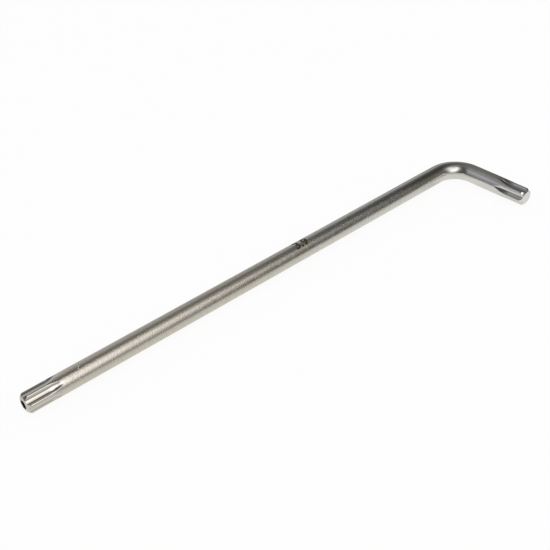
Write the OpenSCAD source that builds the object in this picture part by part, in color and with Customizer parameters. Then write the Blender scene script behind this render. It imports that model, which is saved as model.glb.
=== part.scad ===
// Star key: one round steel bar, bent to an L, with a six-lobe star cut into each end.
// The key lies flat: long arm along X with its tip at -X, short arm towards -Y, Z up.
// The bar is divided where its working changes: two star tips, two arms and the bend.

/* [Bar] */
// Diameter of the round bar
bar_d = 3.9; // [3.9:0.1:6]
// Length from the long tip's end to the outer side of the short arm
long_len = 112; // [60:1:260]
// Length from the short tip's end to the outer side of the long arm
short_len = 22; // [20:0.5:60]
// Radius of the bend, measured at the middle of the bar
bend_r = 5.5; // [4:0.1:10]

/* [Star] */
// Size across opposite lobes
star_d = 3.86; // [3.6:0.01:3.9]
// Size across opposite flutes
root_d = 2.75; // [2.5:0.01:3]
// Rounding of each lobe
lobe_r = 0.3; // [0.2:0.01:0.4]
// Full-depth length of the long tip's flutes
long_flute_len = 4.4; // [2:0.1:8]
// Full-depth length of the short tip's flutes
short_flute_len = 3.8; // [2:0.1:8]
// Radius of the arc in which a flute's floor rises to the surface of the bar
runout_r = 8; // [5:0.1:15]
// Turn of the long tip's star about its arm, in degrees
long_turn = 45; // [0:1:59]
// Turn of the short tip's star about its arm, in degrees
short_turn = 20; // [0:1:59]

/* [Ends] */
// Diameter of the flat that the chamfer leaves on each end
end_flat_d = 2.1; // [1.9:0.05:2.4]
// Length of each end's chamfer
chamfer_len = 0.5; // [0.2:0.05:1]
// Diameter of the pin bore in the long tip
bore_d = 1.7; // [1.2:0.05:1.8]
// Depth of the pin bore, without its drill point
bore_len = 4.5; // [2:0.1:7]
// Angle of the drill point at the bottom of the bore
drill_point = 118; // [90:1:140]
// Plain bar behind the flutes that counts as part of a tip
collar_len = 1; // [0.5:0.1:3]

/* [Hidden] */
$fn = 96;

// Number of lobes of a star drive
lobes = 6;
// Overlap of neighbouring arcs of the star, so that they meet in a definite corner
blend = 0.01;
// Cuts reach this far past the faces they open
past = 0.5;
// A flute's run-out turns this many degrees past the surface it leaves
past_turn = 3;

bar_r = bar_d / 2;
star_r = star_d / 2;
root_r = root_d / 2;
half_pitch = 180 / lobes;

// The lobes are arcs about lobe_at, and each flute is an arc that meets the lobes beside it
lobe_at = star_r - lobe_r + blend;
lobe_u = lobe_at * cos(half_pitch);
lobe_v = lobe_at * sin(half_pitch);
lobe_meet_r = lobe_r - blend;
flute_r = (lobe_at ^ 2 + root_r ^ 2 - 2 * lobe_u * root_r - lobe_meet_r ^ 2)
    / (2 * (lobe_u + lobe_meet_r - root_r));
flute_at = root_r + flute_r;

// Distance from the bar's middle at which a flute's arc meets the lobes beside it
meet_u = lobe_u + (flute_at - lobe_u) * lobe_r / (lobe_r + flute_r);

// Run-out of a flute, from full depth to the surface of the bar
runout_turn = acos(1 - (bar_r - root_r) / runout_r);
runout_len = runout_r * sin(runout_turn);
long_tip_len = long_flute_len + runout_len + collar_len;
short_tip_len = short_flute_len + runout_len + collar_len;

// Places of the two arms and of the bend's middle
long_end_x = -long_len / 2;
short_end_y = -short_len / 2;
long_arm_y = short_len / 2 - bar_r;
short_arm_x = long_len / 2 - bar_r;
bend_x = short_arm_x - bend_r;
bend_y = long_arm_y - bend_r;

steel = [0.64, 0.62, 0.58];

// Section of one flute, at its distance from the bar's middle, flared round the lobes beside it
module flute_section() {
    translate([flute_at, 0]) circle(flute_r);
    difference() {
        translate([meet_u - blend, -lobe_v]) square([bar_r + past - meet_u, 2 * lobe_v]);
        for (side = [-1, 1]) translate([lobe_u, side * lobe_v]) circle(lobe_r);
    }
}

// One flute along Z: straight from the end, then curved outwards until it leaves the bar
module flute(straight_len) {
    translate([0, 0, -past]) linear_extrude(straight_len + past) flute_section();
    translate([root_r + runout_r, 0, straight_len]) rotate([90, 0, 180])
        rotate_extrude(angle = runout_turn + past_turn)
            translate([root_r + runout_r, 0]) mirror([1, 0]) flute_section();
}

// Round blank of a star tip, with its end at Z = 0
module blank(straight_len, tip_len) {
    rotate_extrude() polygon([
        [0, 0],
        [end_flat_d / 2, 0],
        [star_r, chamfer_len],
        [star_r, straight_len],
        [bar_r, straight_len + runout_len],
        [bar_r, tip_len],
        [0, tip_len]
    ]);
}

module star_tip(straight_len, tip_len, turn) {
    difference() {
        blank(straight_len, tip_len);
        for (i = [0 : lobes - 1]) rotate(turn + i * 360 / lobes) flute(straight_len);
    }
}

module pin_bore() {
    translate([0, 0, -past]) cylinder(d = bore_d, h = bore_len + past);
    point_len = bore_d / 2 / tan(drill_point / 2);
    translate([0, 0, bore_len]) cylinder(d1 = bore_d, d2 = 0, h = point_len);
}

module long_star_tip() {
    color(steel) translate([long_end_x, long_arm_y, bar_r]) rotate([0, 90, 0])
        difference() {
            star_tip(long_flute_len, long_tip_len, long_turn);
            pin_bore();
        }
}

module long_arm() {
    arm_len = bend_x - long_end_x - long_tip_len;
    color(steel) translate([long_end_x + long_tip_len, long_arm_y, bar_r]) rotate([0, 90, 0])
        cylinder(d = bar_d, h = arm_len);
}

module bend() {
    color(steel) translate([bend_x, bend_y, bar_r])
        rotate_extrude(angle = 90) translate([bend_r, 0]) circle(d = bar_d);
}

module short_arm() {
    arm_len = bend_y - short_end_y - short_tip_len;
    color(steel) translate([short_arm_x, short_end_y + short_tip_len, bar_r]) rotate([-90, 0, 0])
        cylinder(d = bar_d, h = arm_len);
}

module short_star_tip() {
    color(steel) translate([short_arm_x, short_end_y, bar_r]) rotate([-90, 0, 0])
        star_tip(short_flute_len, short_tip_len, short_turn);
}

long_star_tip();
long_arm();
bend();
short_arm();
short_star_tip();
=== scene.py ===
import math

import bmesh
import bpy
from mathutils import Matrix, Vector


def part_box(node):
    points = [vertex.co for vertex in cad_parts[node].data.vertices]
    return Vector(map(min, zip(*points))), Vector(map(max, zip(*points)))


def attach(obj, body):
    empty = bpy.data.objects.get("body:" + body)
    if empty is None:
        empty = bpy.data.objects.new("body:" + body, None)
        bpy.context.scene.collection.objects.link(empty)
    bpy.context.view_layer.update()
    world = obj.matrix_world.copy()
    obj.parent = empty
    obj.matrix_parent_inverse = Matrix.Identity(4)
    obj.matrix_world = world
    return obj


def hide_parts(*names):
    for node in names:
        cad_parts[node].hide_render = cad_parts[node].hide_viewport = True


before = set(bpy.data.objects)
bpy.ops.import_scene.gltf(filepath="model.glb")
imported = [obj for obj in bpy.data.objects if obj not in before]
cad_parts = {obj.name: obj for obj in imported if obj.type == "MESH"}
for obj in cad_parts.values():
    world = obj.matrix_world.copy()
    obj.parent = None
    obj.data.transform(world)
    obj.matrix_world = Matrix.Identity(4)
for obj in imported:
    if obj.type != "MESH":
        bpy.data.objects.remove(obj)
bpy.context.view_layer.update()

# Sizes of the bar, in metres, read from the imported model
MM = 0.001
long_tip_low, long_tip_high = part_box("long_star_tip")
long_arm_low, long_arm_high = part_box("long_arm")
short_arm_low, short_arm_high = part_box("short_arm")
short_tip_low, short_tip_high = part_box("short_star_tip")

BAR_R = (long_arm_high.z - long_arm_low.z) / 2
AXIS_Z = (long_arm_high.z + long_arm_low.z) / 2
LONG_Y = (long_arm_high.y + long_arm_low.y) / 2
SHORT_X = (short_arm_high.x + short_arm_low.x) / 2
BEND_X = long_arm_high.x
BEND_Y = short_arm_high.y

# How finely the round work is divided
BAR_SIDES = 192
BEND_STEPS = 72
FLOOR_PARTS = 10
FILLET_PARTS = 6
CREST_PARTS = 8
NOSE_RINGS = 8
STRAIGHT_RINGS = 8
RUNOUT_RINGS = 36

# Shared by all the pieces
QUARTER_TURN = math.pi / 2
SHADE_ANGLE = math.radians(30)
SAME_POINT = 1e-7
SAME_PLACE = 1e-6


# Hand tools
def clear_selection():
    if bpy.context.mode != "OBJECT":
        bpy.ops.object.mode_set(mode="OBJECT")
    bpy.ops.object.select_all(action="DESELECT")


def edit_all():
    """Opens the piece in edit mode, with everything selected."""
    bpy.ops.object.mode_set(mode="EDIT")
    bpy.ops.mesh.select_mode(type="VERT")
    bpy.ops.mesh.select_all(action="SELECT")


def pick(test):
    """Selects the vertices whose place passes the test, in edit mode."""
    mesh = bpy.context.object.data
    shape = bmesh.from_edit_mesh(mesh)
    for vert in shape.verts:
        vert.select_set(test(vert.co))
    shape.select_flush_mode()
    bmesh.update_edit_mesh(mesh)


def finish_piece(name, material, node=None):
    """Closes the edit, lays the place into the mesh, shades it and puts it on the body."""
    if bpy.context.mode != "OBJECT":
        bpy.ops.object.mode_set(mode="OBJECT")
    piece = bpy.context.object
    bpy.ops.object.transform_apply(location=True, rotation=True, scale=True)
    edit_all()
    bpy.ops.mesh.remove_doubles(threshold=SAME_POINT)
    bpy.ops.mesh.normals_make_consistent(inside=False)
    bpy.ops.object.mode_set(mode="OBJECT")
    bpy.ops.object.shade_smooth_by_angle(angle=SHADE_ANGLE)
    piece.name = name
    piece.data.name = name
    piece.data.materials.clear()
    piece.data.materials.append(material)
    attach(piece, "root")
    if node:
        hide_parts(node)


# Node work
class Wire:
    """One value in a material: sums on it add Math nodes, and add() lays any other node."""

    def __init__(self, tree, socket=None):
        self.tree = tree
        self.socket = socket

    def add(self, kind, settings=(), plugs=(), out=0):
        node = self.tree.nodes.new(kind)
        for name, value in dict(settings).items():
            setattr(node, name, value)
        for name, value in dict(plugs).items():
            if isinstance(value, Wire):
                self.tree.links.new(value.socket, node.inputs[name])
            else:
                node.inputs[name].default_value = value
        return Wire(self.tree, node.outputs[out] if node.outputs else None)

    def sum(self, operation, *values):
        return self.add("ShaderNodeMath", {"operation": operation}, dict(enumerate(values)))

    def __add__(self, other):
        return self.sum("ADD", self, other)

    def __radd__(self, other):
        return self.sum("ADD", other, self)

    def __sub__(self, other):
        return self.sum("SUBTRACT", self, other)

    def __rsub__(self, other):
        return self.sum("SUBTRACT", other, self)

    def __mul__(self, other):
        return self.sum("MULTIPLY", self, other)

    def __rmul__(self, other):
        return self.sum("MULTIPLY", other, self)

    def __truediv__(self, other):
        return self.sum("DIVIDE", self, other)

    def __rtruediv__(self, other):
        return self.sum("DIVIDE", other, self)

    def __pow__(self, other):
        return self.sum("POWER", self, other)

    def ease(self, start, end):
        """0 at start, 1 at end and a smooth rise between."""
        plugs = {"Value": self, "From Min": start, "From Max": end, "To Min": 0.0, "To Max": 1.0}
        return self.add("ShaderNodeMapRange", {"interpolation_type": "SMOOTHSTEP"}, plugs)

    def within(self, half):
        """1 about the middle of a mark, and a smooth fall to 0 past its half width."""
        return 1 - self.sum("ABSOLUTE", self).ease(*half)

    def blend(self, low, high):
        """A colour that goes from low, where this value is 0, to high, where it is 1."""
        return self.add("ShaderNodeMix", {"data_type": "RGBA"}, {0: self, 6: low, 7: high}, out=2)

    def split(self):
        node = self.add("ShaderNodeSeparateXYZ", plugs={0: self}).socket.node
        return [Wire(self.tree, out) for out in node.outputs]

    def join(self, x, y, z):
        return self.add("ShaderNodeCombineXYZ", plugs={0: x, 1: y, 2: z})

    def vector(self, operation, plugs, out=0):
        return self.add("ShaderNodeVectorMath", {"operation": operation}, plugs, out)

    def noise(self, scale, detail, rough):
        plugs = {"Vector": self, "Scale": scale, "Detail": detail, "Roughness": rough}
        return self.add("ShaderNodeTexNoise", plugs=plugs)


def new_material(name):
    material = bpy.data.materials.new(name)
    material.use_nodes = True
    tree = material.node_tree
    tree.nodes.clear()
    return material, Wire(tree)


def show(start, shader):
    """Puts a shader on the material's surface."""
    start.add("ShaderNodeOutputMaterial", plugs={"Surface": shader})


def place_of(start):
    """The place on the piece, in the shared frame."""
    return start.add("ShaderNodeTexCoord", out=3)


# Colours of the finishes
WARM_STEEL = (0.661, 0.625, 0.540, 1.0)
EVEN_STEEL = (0.616, 0.608, 0.560, 1.0)
CUT_STEEL = (0.648, 0.620, 0.548, 1.0)
# Steel of the short arm, lighter partly by its own tone and partly as painted light
SHORT_STEEL_AND_LIGHT = (0.728, 0.712, 0.672, 1.0)
CLEAR_STEEL = (0.690, 0.675, 0.636, 1.0)
DEEP_STEEL = (0.92, 0.91, 0.89, 1.0)
# Fresh steel of the nick's lip, brightened further as a painted glint, and the nick's dent,
# darkened as painted shade
FRESH_STEEL_AND_GLINT = (0.97, 0.95, 0.90, 1.0)
PAINTED_DENT_SHADE = (0.46, 0.44, 0.40, 1.0)
DARK_ETCH = (0.024, 0.012, 0.006, 1.0)
PALE_ETCH = (0.080, 0.050, 0.032, 1.0)

# Roughness of the finishes, and how far their marks swing it
SATIN_ROUGH = 0.26
SMOOTH_ROUGH = 0.23
CUT_ROUGH = 0.14
ETCH_ROUGH = 0.60
CLOUD_SWING = 0.08
STREAK_SWING = 0.10
CUTTER_SWING = 0.10
ETCH_SWING = 0.3
LIP_ROUGH = 0.40
ETCH_SPECULAR = 0.25

# Relief, in steps of the bump
BUMP_STEP = 5.0e-6
SCRATCH_HEIGHT = 6.5
CLOUD_HEIGHT = 0.6
PIT_HEIGHT = 6.0
CUTTER_HEIGHT = 0.35
DENT_DEPTH = 2.0

# Lines round the bar: their pitch along it, their reach round it and their detail
SCRATCH_LINES = (0.15 * MM, 0.34 * MM, 2.0)
STREAK_LINES = (0.20 * MM, 1.3 * MM, 1.0)
CUTTER_LINES = (0.16 * MM, 2.5 * MM, 1.0)
LINE_FRAY = 0.55

# Spots: scale, detail and roughness of their noise
CLOUD_SPOTS = (300, 3.0, 0.55)
PATCH_SPOTS = (900, 2.0, 0.6)
PIT_SPOTS = (4000, 1.0, 0.6)
ETCH_SPOTS = (9000, 2.0, 0.6)
NOISE_MEAN = 0.5

# Share of a noise where its mark starts and where it is whole
STREAK_EDGE = (0.30, 0.70)
PATCH_EDGE = (0.30, 0.70)
CLOUD_EDGE = (0.55, 0.8)
ETCH_EDGE = (0.40, 0.72)
PATCH_LEAST = 0.45
PATCH_GAIN = 1.1
FAINT_GRAIN = 0.05

# Where a finish starts to change and where it has changed
SMOOTH_RUN = (22 * MM, 47 * MM)
GRAIN_RUN = (36 * MM, 47.5 * MM)
EVEN_RUN = (-14 * MM, 26 * MM)
PIT_RUN = (5 * MM, 30 * MM)
BEND_RUN = (BEND_Y - 4 * MM, BEND_Y + 1 * MM)
SKIN_RUN = (1.915 * MM, 1.948 * MM)

# Nick on the long arm, a lip of fresh steel painted brighter as a glint, with a dent beside it
# painted darker as shade, and their soft half widths
NICK_X = -45.1 * MM
NICK_Y = LONG_Y - 0.48 * MM
NICK_LEAN = 1.1
NICK_HALF = (0.17 * MM, 0.34 * MM)
NICK_TOP = (AXIS_Z, AXIS_Z + 0.5 * MM)
LIP_HALF = (0.06 * MM, 0.17 * MM)
DENT_HALF = (0.03 * MM, 0.16 * MM)
DENT_GAP = 0.26 * MM


# Finishes
def ring_lines(start, parts, along, pitch, reach, detail):
    """Fine lines that run round the bar, a pitch apart along it and about a reach long."""
    spread = [part / reach for part in parts]
    spread[along] = parts[along] / pitch
    return start.join(*spread).noise(1.0, detail, LINE_FRAY)


def bar_skin(start, place, along, satin, grain):
    """The ground skin of the bar: its roughness, height, streaks and clouds.

    satin and grain go from 0 to 1.
    """
    parts = place.split()
    scratch = ring_lines(start, parts, along, *SCRATCH_LINES)
    streak = ring_lines(start, parts, along, *STREAK_LINES)
    cloud = place.noise(*CLOUD_SPOTS)
    patchy = place.noise(*PATCH_SPOTS).ease(*PATCH_EDGE) * PATCH_GAIN + PATCH_LEAST
    height = (scratch - NOISE_MEAN) * SCRATCH_HEIGHT * patchy * grain
    height = height + (cloud - NOISE_MEAN) * CLOUD_HEIGHT
    rough = SMOOTH_ROUGH + satin * (SATIN_ROUGH - SMOOTH_ROUGH)
    rough = rough + (cloud - NOISE_MEAN) * CLOUD_SWING
    rough = rough + (streak - NOISE_MEAN) * STREAK_SWING * satin
    return rough, height, streak, cloud


def deeper(start, tone):
    """The same steel, toned down a little."""
    settings = {"data_type": "RGBA", "blend_type": "MULTIPLY"}
    return start.add("ShaderNodeMix", settings, {0: 1.0, 6: tone, 7: DEEP_STEEL}, out=2)


def finish_steel(start, tone, rough, height):
    """Bare steel of a tone, with its roughness and its fine relief."""
    relief = {"Strength": 1.0, "Distance": BUMP_STEP, "Height": height}
    lift = start.add("ShaderNodeBump", plugs=relief)
    plugs = {"Base Color": tone, "Metallic": 1.0, "Roughness": rough, "Normal": lift}
    show(start, start.add("ShaderNodeBsdfPrincipled", plugs=plugs))


def nick(parts):
    """The lip and the dent of the nick, each 1 where it is and 0 elsewhere."""
    up = parts[1] - NICK_Y
    across = parts[0] - NICK_X - up * NICK_LEAN
    tall = up.within(NICK_HALF) * parts[2].ease(*NICK_TOP)
    return across.within(LIP_HALF) * tall, (across - DENT_GAP).within(DENT_HALF) * tall


def long_arm_steel():
    """Satin skin with streaks, pits and a nick, smoother where the bar was bent."""
    material, start = new_material("satin_steel")
    place = place_of(start)
    parts = place.split()
    satin = 1 - parts[0].ease(*SMOOTH_RUN)
    grain = 1 - parts[0].ease(*GRAIN_RUN)
    skin_grain = grain * (1 - FAINT_GRAIN) + FAINT_GRAIN
    rough, height, streak, _ = bar_skin(start, place, 0, satin, skin_grain)
    tone = parts[0].ease(*EVEN_RUN).blend(WARM_STEEL, EVEN_STEEL)
    tone = streak.ease(*STREAK_EDGE).blend(tone, deeper(start, tone))
    pits = (place.noise(*PIT_SPOTS) - NOISE_MEAN) * parts[0].ease(*PIT_RUN) * grain
    lip, dent = nick(parts)
    # The nick's lip is painted brighter as a glint, partly fresh steel, and its dent is painted
    # darker as shade
    tone = lip.blend(dent.blend(tone, PAINTED_DENT_SHADE), FRESH_STEEL_AND_GLINT)
    height = height + pits * PIT_HEIGHT - dent * DENT_DEPTH
    rough = rough + lip * LIP_ROUGH
    finish_steel(start, tone, rough, height)
    return material


def smooth_steel(name, along):
    """Smooth skin that brightens from the bend to the short arm, partly a lighter steel and
    partly painted light.
    """
    material, start = new_material(name)
    place = place_of(start)
    rough, height, _, cloud = bar_skin(start, place, along, 0.0, FAINT_GRAIN)
    # Brighter towards the short arm, partly painted light
    tone = place.split()[1].ease(*BEND_RUN).blend(SHORT_STEEL_AND_LIGHT, EVEN_STEEL)
    tone = cloud.ease(*CLOUD_EDGE).blend(tone, deeper(start, tone))
    finish_steel(start, tone, rough, height)
    return material


def cut_steel(name, along, middle, satin, skin, bright):
    """Bright star cuts with fine cross lines from the cutter, on the bar's own skin."""
    material, start = new_material(name)
    place = place_of(start)
    parts = place.split()
    off = [parts[i] - middle[i] for i in range(3) if i != along]
    radius = (off[0] * off[0] + off[1] * off[1]) ** 0.5
    cut = 1 - radius.ease(*SKIN_RUN)
    rough, height, _, _ = bar_skin(start, place, along, satin, 1.0 if satin else FAINT_GRAIN)
    stripe = ring_lines(start, parts, along, *CUTTER_LINES) - NOISE_MEAN
    height = height * (1 - cut) + stripe * cut * CUTTER_HEIGHT
    rough = rough * (1 - cut) + (CUT_ROUGH + stripe * CUTTER_SWING) * cut
    finish_steel(start, cut.blend(skin, bright), rough, height)
    return material


def etched_brown():
    """Dull brown etching, in darker and paler specks."""
    material, start = new_material("etched_brown")
    speck = place_of(start).noise(*ETCH_SPOTS)
    plugs = {
        "Base Color": speck.ease(*ETCH_EDGE).blend(DARK_ETCH, PALE_ETCH),
        "Roughness": ETCH_ROUGH + (speck - NOISE_MEAN) * ETCH_SWING,
        "Specular IOR Level": ETCH_SPECULAR,
    }
    show(start, start.add("ShaderNodeBsdfPrincipled", plugs=plugs))
    return material


long_satin = long_arm_steel()
bend_smooth = smooth_steel("bend_steel", 2)
short_smooth = smooth_steel("short_steel", 1)
long_cut = cut_steel("long_cut_steel", 0, (0, LONG_Y, AXIS_Z), 1.0, WARM_STEEL, CUT_STEEL)
short_cut = cut_steel("short_cut_steel", 1, (SHORT_X, 0, AXIS_Z), 0.0, SHORT_STEEL_AND_LIGHT, CLEAR_STEEL)
mark_brown = etched_brown()


# Arms and bend
def bar_section(fill, place, turn):
    """A round section of the bar, open for editing."""
    clear_selection()
    bpy.ops.mesh.primitive_circle_add(
        vertices=BAR_SIDES, radius=BAR_R, fill_type=fill, location=place, rotation=turn
    )
    bpy.ops.object.transform_apply(location=True, rotation=True, scale=True)
    edit_all()


def bar_arm(name, place, turn, push, material):
    """A round arm: a disc of bar, pushed out to its length."""
    bar_section("NGON", place, turn)
    bpy.ops.mesh.extrude_region_move(TRANSFORM_OT_translate={"value": push})
    finish_piece(name + "_steel", material, name)


bar_arm(
    "long_arm",
    (long_arm_low.x, LONG_Y, AXIS_Z),
    (0, QUARTER_TURN, 0),
    (long_arm_high.x - long_arm_low.x, 0, 0),
    long_satin,
)
bar_arm(
    "short_arm",
    (SHORT_X, BEND_Y, AXIS_Z),
    (QUARTER_TURN, 0, 0),
    (0, short_arm_low.y - BEND_Y, 0),
    short_smooth,
)

bar_section("NOTHING", (BEND_X, LONG_Y, AXIS_Z), (0, QUARTER_TURN, 0))
bpy.ops.mesh.spin(
    steps=BEND_STEPS, angle=QUARTER_TURN, center=(BEND_X, BEND_Y, AXIS_Z), axis=(0, 0, 1)
)
pick(lambda co: abs(co.x - BEND_X) < SAME_PLACE)
bpy.ops.mesh.edge_face_add()
pick(lambda co: abs(co.y - BEND_Y) < SAME_PLACE)
bpy.ops.mesh.edge_face_add()
finish_piece("bend_steel", bend_smooth, "bend")

# Star section, in metres
LOBES = 6
STAR_R = 1.93 * MM
ROOT_R = 1.375 * MM
FLUTE_R = 0.88 * MM
CREST_R = 0.25 * MM
EDGE_R = 0.06 * MM
LEAST_FLUTE = 0.0002 * MM
MOST_TURN = 0.985

# Star tips: the run-out has two radii, and the nose a flat, a depth and a fullness
LONG_FLUTE = 4.4 * MM
LONG_RUNOUT = (6 * MM, 4 * MM)
LONG_TURN = math.radians(45.5)
LONG_NOSE = (1.05 * MM, 0.75 * MM, 1.5)
SHORT_FLUTE = 3.5 * MM
SHORT_RUNOUT = (9.2 * MM, 6 * MM)
SHORT_TURN = math.radians(20)
SHORT_NOSE = (1.02 * MM, 0.74 * MM, 1.6)
NOSE_CLEAR = 1.1
RUNOUT_CROWD = 1.3
SHANK_RINGS = (1.002, 1.015)
END_INSET = 0.94

# Pin bore: the lip's rings lie so many lips out from the bore and down from the end
BORE_R = 0.85 * MM
BORE_DEPTH = 4.5 * MM
BORE_LIP = 0.04 * MM
LIP_RINGS = ((1.3, 0), (1, 0), (0.3, 0.3), (0, 1), (0, 1.6))
DRILL_POINT = math.radians(118)
DRILL_END = 0.02


def on_circle(r, a):
    return Vector((r * math.cos(a), r * math.sin(a)))


def half_lobe(flute_depth, outer, fillet):
    """Half a lobe of the star, from the floor of a flute to the top of a lobe."""
    centre = outer - flute_depth + FLUTE_R
    reach = outer - fillet
    turn = math.acos((reach**2 + centre**2 - (FLUTE_R + fillet) ** 2) / (2 * reach * centre))
    top = math.pi / LOBES
    turn = min(turn, top * MOST_TURN)
    hub = on_circle(reach, turn)
    axis = Vector((centre, 0))
    swing = math.atan2(hub.y, centre - hub.x)
    points = []
    for i in range(FLOOR_PARTS):
        points.append(axis + on_circle(FLUTE_R, math.pi - swing * i / FLOOR_PARTS))
    for i in range(FILLET_PARTS):
        points.append(hub + on_circle(fillet, -swing + (turn + swing) * i / FILLET_PARTS))
    for i in range(CREST_PARTS + 1):
        points.append(on_circle(outer, turn + (top - turn) * i / CREST_PARTS))
    return [(p.length, math.atan2(p.y, p.x)) for p in points]


def star_ring(flute_depth, outer, fillet):
    """The whole star section as radius and angle, lobe by lobe."""
    half = half_lobe(flute_depth, outer, fillet)
    lobe_turn = 2 * math.pi / LOBES
    ring = []
    for lobe in range(LOBES):
        base = lobe_turn * lobe
        ring += [(r, base + a) for r, a in half]
        ring += [(r, base + lobe_turn - a) for r, a in half[-2:0:-1]]
    return ring


def nose_depth(r, nose):
    """How far behind the end the rounded nose reaches a radius."""
    flat, depth, fullness = nose
    share = min((r - flat) / (STAR_R - flat), 1.0)
    return depth * (1 - (1 - share**fullness) ** (1 / fullness))


def floor_radius(run, runout, curves):
    """The flute's floor along its run-out: it curves up, and then over into the bar."""
    rise, fade = curves
    if run < runout * rise / (rise + fade):
        return ROOT_R + run**2 / (2 * rise)
    return BAR_R - (runout - run) ** 2 / (2 * fade)


def tip_rings(full, flute, curves, nose, length):
    """The tip's outside, ring by ring from the nose to the bar: radius, angle and depth."""
    flat, depth, _ = nose
    runout = math.sqrt(2 * (BAR_R - ROOT_R) * sum(curves))
    rings = []
    for i in range(1, NOSE_RINGS + 1):
        part = math.sin(QUARTER_TURN * i / NOSE_RINGS)
        ring = [(flat + (r - flat) * part, a) for r, a in full]
        rings.append([(r, a, nose_depth(r, nose)) for r, a in ring])
    straight = depth * NOSE_CLEAR
    for i in range(1, STRAIGHT_RINGS + 1):
        u = straight + (flute - straight) * i / STRAIGHT_RINGS
        rings.append([(r, a, u) for r, a in full])
    for i in range(1, RUNOUT_RINGS + 1):
        part = 1 - (1 - i / RUNOUT_RINGS) ** RUNOUT_CROWD
        run = runout * part
        outer = STAR_R + (BAR_R - STAR_R) * part
        fillet = EDGE_R + (CREST_R - EDGE_R) * (1 - part) ** 2
        flute_depth = max(outer - floor_radius(run, runout, curves), LEAST_FLUTE)
        last = star_ring(flute_depth, outer, fillet)
        rings.append([(r, a, flute + run) for r, a in last])
    for u in [flute + runout * share for share in SHANK_RINGS] + [length]:
        rings.append([(BAR_R, a, u) for _, a in last])
    return rings


def star_tip(name, flute, curves, turn, nose, length, place, facing, bore, material):
    """A star end, extruded ring by ring from its flat end, with a pin bore or a plain face."""
    full = star_ring(STAR_R - ROOT_R, STAR_R, CREST_R)
    flat = nose[0]
    clear_selection()
    bpy.ops.mesh.primitive_circle_add(vertices=len(full), radius=flat, fill_type="NOTHING")
    piece = bpy.context.object
    edit_all()
    shape = bmesh.from_edit_mesh(piece.data)
    column = shape.verts.layers.int.new("column")
    shape.verts.ensure_lookup_table()
    for i, vert in enumerate(shape.verts):
        vert[column] = i
        vert.co = on_circle(flat, full[i][1] + turn).to_3d()
    bmesh.update_edit_mesh(piece.data)

    def next_ring(points):
        bpy.ops.mesh.extrude_region_move()
        shape = bmesh.from_edit_mesh(piece.data)
        column = shape.verts.layers.int["column"]
        for vert in shape.verts:
            if vert.select:
                r, a, u = points[vert[column]]
                vert.co = Vector((*on_circle(r, a + turn), u))
        bmesh.update_edit_mesh(piece.data)

    for points in tip_rings(full, flute, curves, nose, length):
        next_ring(points)
    bpy.ops.mesh.edge_face_add()

    pick(lambda co: abs(co.z) < SAME_PLACE)
    if bore:
        bottom = BORE_DEPTH + BORE_R / math.tan(DRILL_POINT / 2)
        steps = [(BORE_R + BORE_LIP * out, BORE_LIP * down) for out, down in LIP_RINGS]
        for r, u in steps + [(BORE_R, BORE_DEPTH), (BORE_R * DRILL_END, bottom)]:
            next_ring([(r, a, u) for _, a in full])
        bpy.ops.mesh.merge(type="CENTER")
    else:
        next_ring([(flat * END_INSET, a, 0) for _, a in full])
        bpy.ops.mesh.edge_face_add()

    bpy.ops.object.mode_set(mode="OBJECT")
    piece.location = place
    piece.rotation_euler = facing
    finish_piece(name + "_steel", material, name)


star_tip(
    "long_star_tip",
    LONG_FLUTE,
    LONG_RUNOUT,
    LONG_TURN,
    LONG_NOSE,
    length=long_tip_high.x - long_tip_low.x,
    place=(long_tip_low.x, LONG_Y, AXIS_Z),
    facing=(0, QUARTER_TURN, 0),
    bore=True,
    material=long_cut,
)
star_tip(
    "short_star_tip",
    SHORT_FLUTE,
    SHORT_RUNOUT,
    SHORT_TURN,
    SHORT_NOSE,
    length=short_tip_high.y - short_tip_low.y,
    place=(SHORT_X, short_tip_low.y, AXIS_Z),
    facing=(-QUARTER_TURN, 0, 0),
    bore=False,
    material=short_cut,
)

# Size number, etched on top of the long arm
MARK_TEXT = "3.9"
MARK_X = 7.0 * MM
MARK_TURN = math.radians(84)
MARK_SIZE = 2.85 * MM
MARK_STROKE = 0.075 * MM
MARK_CURVES = 4
MARK_CUTS = 14
MARK_PROUD = 0.006 * MM
MARK_SEAT = 0.020 * MM

clear_selection()
bpy.ops.object.text_add()
mark = bpy.context.object
mark.data.body = MARK_TEXT
mark.data.size = MARK_SIZE
mark.data.offset = MARK_STROKE
mark.data.align_x = "CENTER"
mark.data.resolution_u = MARK_CURVES
bpy.ops.object.convert(target="MESH")
mark = bpy.context.object
edit_all()
bpy.ops.mesh.remove_doubles(threshold=SAME_POINT)
heights = [vert.co.y for vert in bmesh.from_edit_mesh(mark.data).verts]
foot, head = min(heights), max(heights)
for i in range(1, MARK_CUTS):
    bpy.ops.mesh.select_all(action="SELECT")
    level = foot + (head - foot) * i / MARK_CUTS
    bpy.ops.mesh.bisect(plane_co=(0, level, 0), plane_no=(0, 1, 0))
bpy.ops.mesh.select_all(action="SELECT")
shape = bmesh.from_edit_mesh(mark.data)
for vert in shape.verts:
    a = MARK_TURN + (vert.co.y - (foot + head) / 2) / BAR_R
    r = BAR_R + MARK_PROUD
    vert.co = Vector((MARK_X + vert.co.x, LONG_Y - r * math.cos(a), AXIS_Z + r * math.sin(a)))
bmesh.update_edit_mesh(mark.data)
bpy.ops.object.mode_set(mode="OBJECT")
wall = mark.modifiers.new("seat", "SOLIDIFY")
wall.thickness = MARK_SEAT
wall.offset = -1
bpy.ops.object.modifier_apply(modifier="seat")
finish_piece("size_mark", mark_brown)

# Camera, at the photograph's viewing angle, in degrees and metres
FOCAL_PIXELS = 968.9
FRAME_PIXELS = 550
SENSOR_WIDTH = 36
LOOK_TURN = -39.698
LOOK_DOWN = 35.942
LOOK_ROLL = -3.489
LOOK_FROM = Vector((-99.11, -110.42, 112.08)) * MM
NEAREST = 0.005


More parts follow.
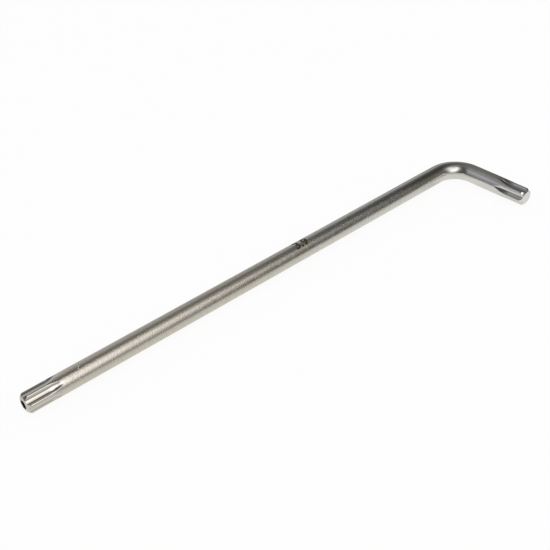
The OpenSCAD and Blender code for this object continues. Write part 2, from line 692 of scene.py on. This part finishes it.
def towards(turn, height):
    """The direction at a turn from the front and a height above the floor, in degrees."""
    a, e = math.radians(turn), math.radians(height)
    return Vector((math.sin(a) * math.cos(e), -math.cos(a) * math.cos(e), math.sin(e)))


back = towards(LOOK_TURN, LOOK_DOWN)
right = on_circle(1, math.radians(LOOK_TURN)).to_3d()
upward = right.cross(-back)
roll = math.radians(LOOK_ROLL)
side = right * math.cos(roll) + upward * math.sin(roll)
rise = upward * math.cos(roll) - right * math.sin(roll)

clear_selection()
bpy.ops.object.camera_add(location=LOOK_FROM)
camera = bpy.context.object
camera.name = "camera"
camera.rotation_euler = Matrix((side, rise, back)).transposed().to_euler()
camera.data.sensor_width = SENSOR_WIDTH
camera.data.lens = SENSOR_WIDTH * FOCAL_PIXELS / FRAME_PIXELS
camera.data.clip_start = NEAREST
bpy.context.scene.camera = camera

# Floor, white to the camera and in reflections, with a faint shadow
FLOOR_SIZE = 4
FLOOR_WHITE = 0.92
FLOOR_RAYS = ("Is Camera Ray", "Is Glossy Ray", "Is Transmission Ray")
PAPER = (0.9, 0.9, 0.9, 1)
WHITE = (1, 1, 1, 1)
BLACK = (0, 0, 0, 1)

clear_selection()
bpy.ops.mesh.primitive_plane_add(size=FLOOR_SIZE, location=(0, 0, 0))
floor = bpy.context.object
floor.name = "floor"
material, start = new_material("white_floor")
path = start.add("ShaderNodeLightPath").socket.node
eye, gloss, glass = [Wire(start.tree, path.outputs[ray]) for ray in FLOOR_RAYS]
paper = start.add("ShaderNodeBsdfDiffuse", plugs={"Color": PAPER})
white = start.add("ShaderNodeEmission", plugs={"Color": WHITE, "Strength": 1.0})
seen = start.sum("MAXIMUM", start.sum("MAXIMUM", eye, gloss), glass)
show(start, start.add("ShaderNodeMixShader", plugs={0: seen * FLOOR_WHITE, 1: paper, 2: white}))
floor.data.materials.append(material)

# Surrounding light, white to the camera
WORLD_LIGHT = 0.85

world = bpy.data.worlds.new("white_studio")
bpy.context.scene.world = world
world.use_nodes = True
ground = world.node_tree.nodes["Background"]
ground.inputs["Color"].default_value = WHITE
eye = Wire(world.node_tree).add("ShaderNodeLightPath")
strength = eye * (1 - WORLD_LIGHT) + WORLD_LIGHT
world.node_tree.links.new(strength.socket, ground.inputs["Strength"])

# Tent of lamps: turn and height in degrees, tightness and tone, below 0 for a dark flag
TENT_R = 0.22
TENT_SIDES = 64
TENT_RINGS = 32
TENT_TONE = (0.020, 0.020, 0.018)
TENT_LAMPS = {
    "front": (-12, 32, 10.0, (2.01, 1.98, 2.07)),
    "front right": (29, 55, 25.0, (1.08, 1.05, 1.04)),
    "front left": (-35, 49, 41.0, (1.45, 1.40, 1.43)),
    "overhead": (-26, 73, 110.0, (2.70, 2.65, 2.68)),
    "overhead right": (87, 72, 76.0, (0.40, 0.40, 0.39)),
    "low back right": (134, 14, 29.0, (0.50, 0.52, 0.52)),
    "wide back": (-167, 19, 3.4, (0.65, 0.65, 0.68)),
    "low right": (61, 16, 21.0, (0.20, 0.18, 0.17)),
    "back left": (-143, 42, 60.0, (0.27, 0.27, 0.39)),
    "left flag": (-120, 38, 25.0, (-0.17, -0.17, -0.17)),
    "overhead flag": (-135, 74, 30.0, (-0.10, -0.10, -0.10)),
    "back right": (152, 50, 14.0, (0.070, 0.063, 0.054)),
}


def only_in_gloss(thing):
    """A card or lamp cloth that the steel shows, out of the camera's sight."""
    thing.visible_camera = False
    thing.visible_diffuse = False
    thing.visible_shadow = False


def lamp_glow(way, turn, height, tightness, tone):
    """The soft patch that one lamp or dark flag makes on the tent."""
    near = way.vector("DOT_PRODUCT", {0: way, 1: towards(turn, height)}, out=1)
    patch = way.sum("EXPONENT", (near - 1) * tightness)
    return way.vector("SCALE", {0: tone, "Scale": patch})


clear_selection()
bpy.ops.mesh.primitive_uv_sphere_add(segments=TENT_SIDES, ring_count=TENT_RINGS, radius=TENT_R)
tent = bpy.context.object
tent.name = "studio_tent"
material, start = new_material("lit_tent")
way = start.vector("NORMALIZE", {0: place_of(start)})
total = start.join(*TENT_TONE)
for lamp in TENT_LAMPS.values():
    total = start.vector("ADD", {0: total, 1: lamp_glow(way, *lamp)})
show(start, start.add("ShaderNodeEmission", plugs={"Color": total, "Strength": 1.0}))
tent.data.materials.append(material)
only_in_gloss(tent)

# Dark card on the floor: its soft edges, each from and to, and how dark each part is
CARD_SIZE = 0.6
CARD_Z = 0.02 * MM
FRONT_SLANT = 0.032
FRONT_EDGE = (-16.1 * MM, 9 * MM)
FRONT_DARK = 0.635
GAP_X = (34 * MM, 51 * MM)
GAP_Y = (-20 * MM, -8 * MM)
GAP_STEP_X = (49 * MM, 54 * MM)
GAP_STEP = 16 * MM
BACK_X = (25 * MM, 58 * MM)
BACK_Y = (9.5 * MM, 13 * MM)
BACK_DARK = 0.14
BACK_DEEPER = 0.60
END_X = (54 * MM, 62 * MM)
END_Y = (-13 * MM, -7 * MM)
END_DARK = 0.80

# How much of the floor's white the card lets through, and where that changes
CARD_CLEAR = 0.87
CLEARER_X = (-5 * MM, 22 * MM)
CLEARER = 0.085
# Painted contact shadow on the floor beside the short arm, seen in reflections
CONTACT_SHADE_X = (40 * MM, 48 * MM)
CONTACT_SHADE_Y = (-12 * MM, -8 * MM)
CONTACT_SHADE = 0.12
# Painted bounce light on the floor in the inside corner by the bend, seen in reflections
CORNER_BOUNCE_X = (47 * MM, 50 * MM)
CORNER_BOUNCE_Y = (0.5 * MM, 4 * MM)
CORNER_BOUNCE_LIGHT = 0.15

clear_selection()
bpy.ops.mesh.primitive_plane_add(size=CARD_SIZE, location=(0, 0, CARD_Z))
bpy.ops.object.transform_apply(location=True, rotation=True, scale=True)
card = bpy.context.object
card.name = "dark_card"
material, start = new_material("dark_card")
x, y, _ = place_of(start).split()
front_side = (1 - (y + x * FRONT_SLANT).ease(*FRONT_EDGE)) * FRONT_DARK
gap = x.ease(*GAP_X) * (y + x.ease(*GAP_STEP_X) * GAP_STEP).ease(*GAP_Y)
back_side = y.ease(*BACK_Y) * (BACK_DARK + x.ease(*BACK_X) * BACK_DEEPER)
end_side = x.ease(*END_X) * y.ease(*END_Y) * END_DARK
far_side = start.sum("MAXIMUM", back_side, end_side)
through = CARD_CLEAR + x.ease(*CLEARER_X) * CLEARER
# Painted contact shadow beside the short arm: the card lets less of the floor's white through
# there
through = through - x.ease(*CONTACT_SHADE_X) * y.ease(*CONTACT_SHADE_Y) * CONTACT_SHADE
# Painted bounce light in the inside corner: the card lets more of the floor's white through there
through = through + x.ease(*CORNER_BOUNCE_X) * y.ease(*CORNER_BOUNCE_Y) * CORNER_BOUNCE_LIGHT
cover = 1 - (1 - front_side * (1 - gap)) * (1 - far_side) * through
clear = start.add("ShaderNodeBsdfTransparent")
black = start.add("ShaderNodeEmission", plugs={"Color": BLACK, "Strength": 0.0})
show(start, start.add("ShaderNodeMixShader", plugs={0: cover, 1: clear, 2: black}))
card.data.materials.append(material)
only_in_gloss(card)

# Soft lamp over the key, in metres and watts
KEY_WAY = towards(-20, 62)
KEY_GAP = 0.8
KEY_SIZE = 0.6
KEY_POWER = 0.9

clear_selection()
bpy.ops.object.light_add(type="AREA", location=KEY_WAY * KEY_GAP)
key = bpy.context.object
key.name = "soft_key"
key.rotation_euler = KEY_WAY.to_track_quat("Z", "Y").to_euler()
key.data.size = KEY_SIZE
key.data.energy = KEY_POWER
key.visible_glossy = False
key.visible_camera = False

bpy.context.scene.view_settings.view_transform = "Standard"
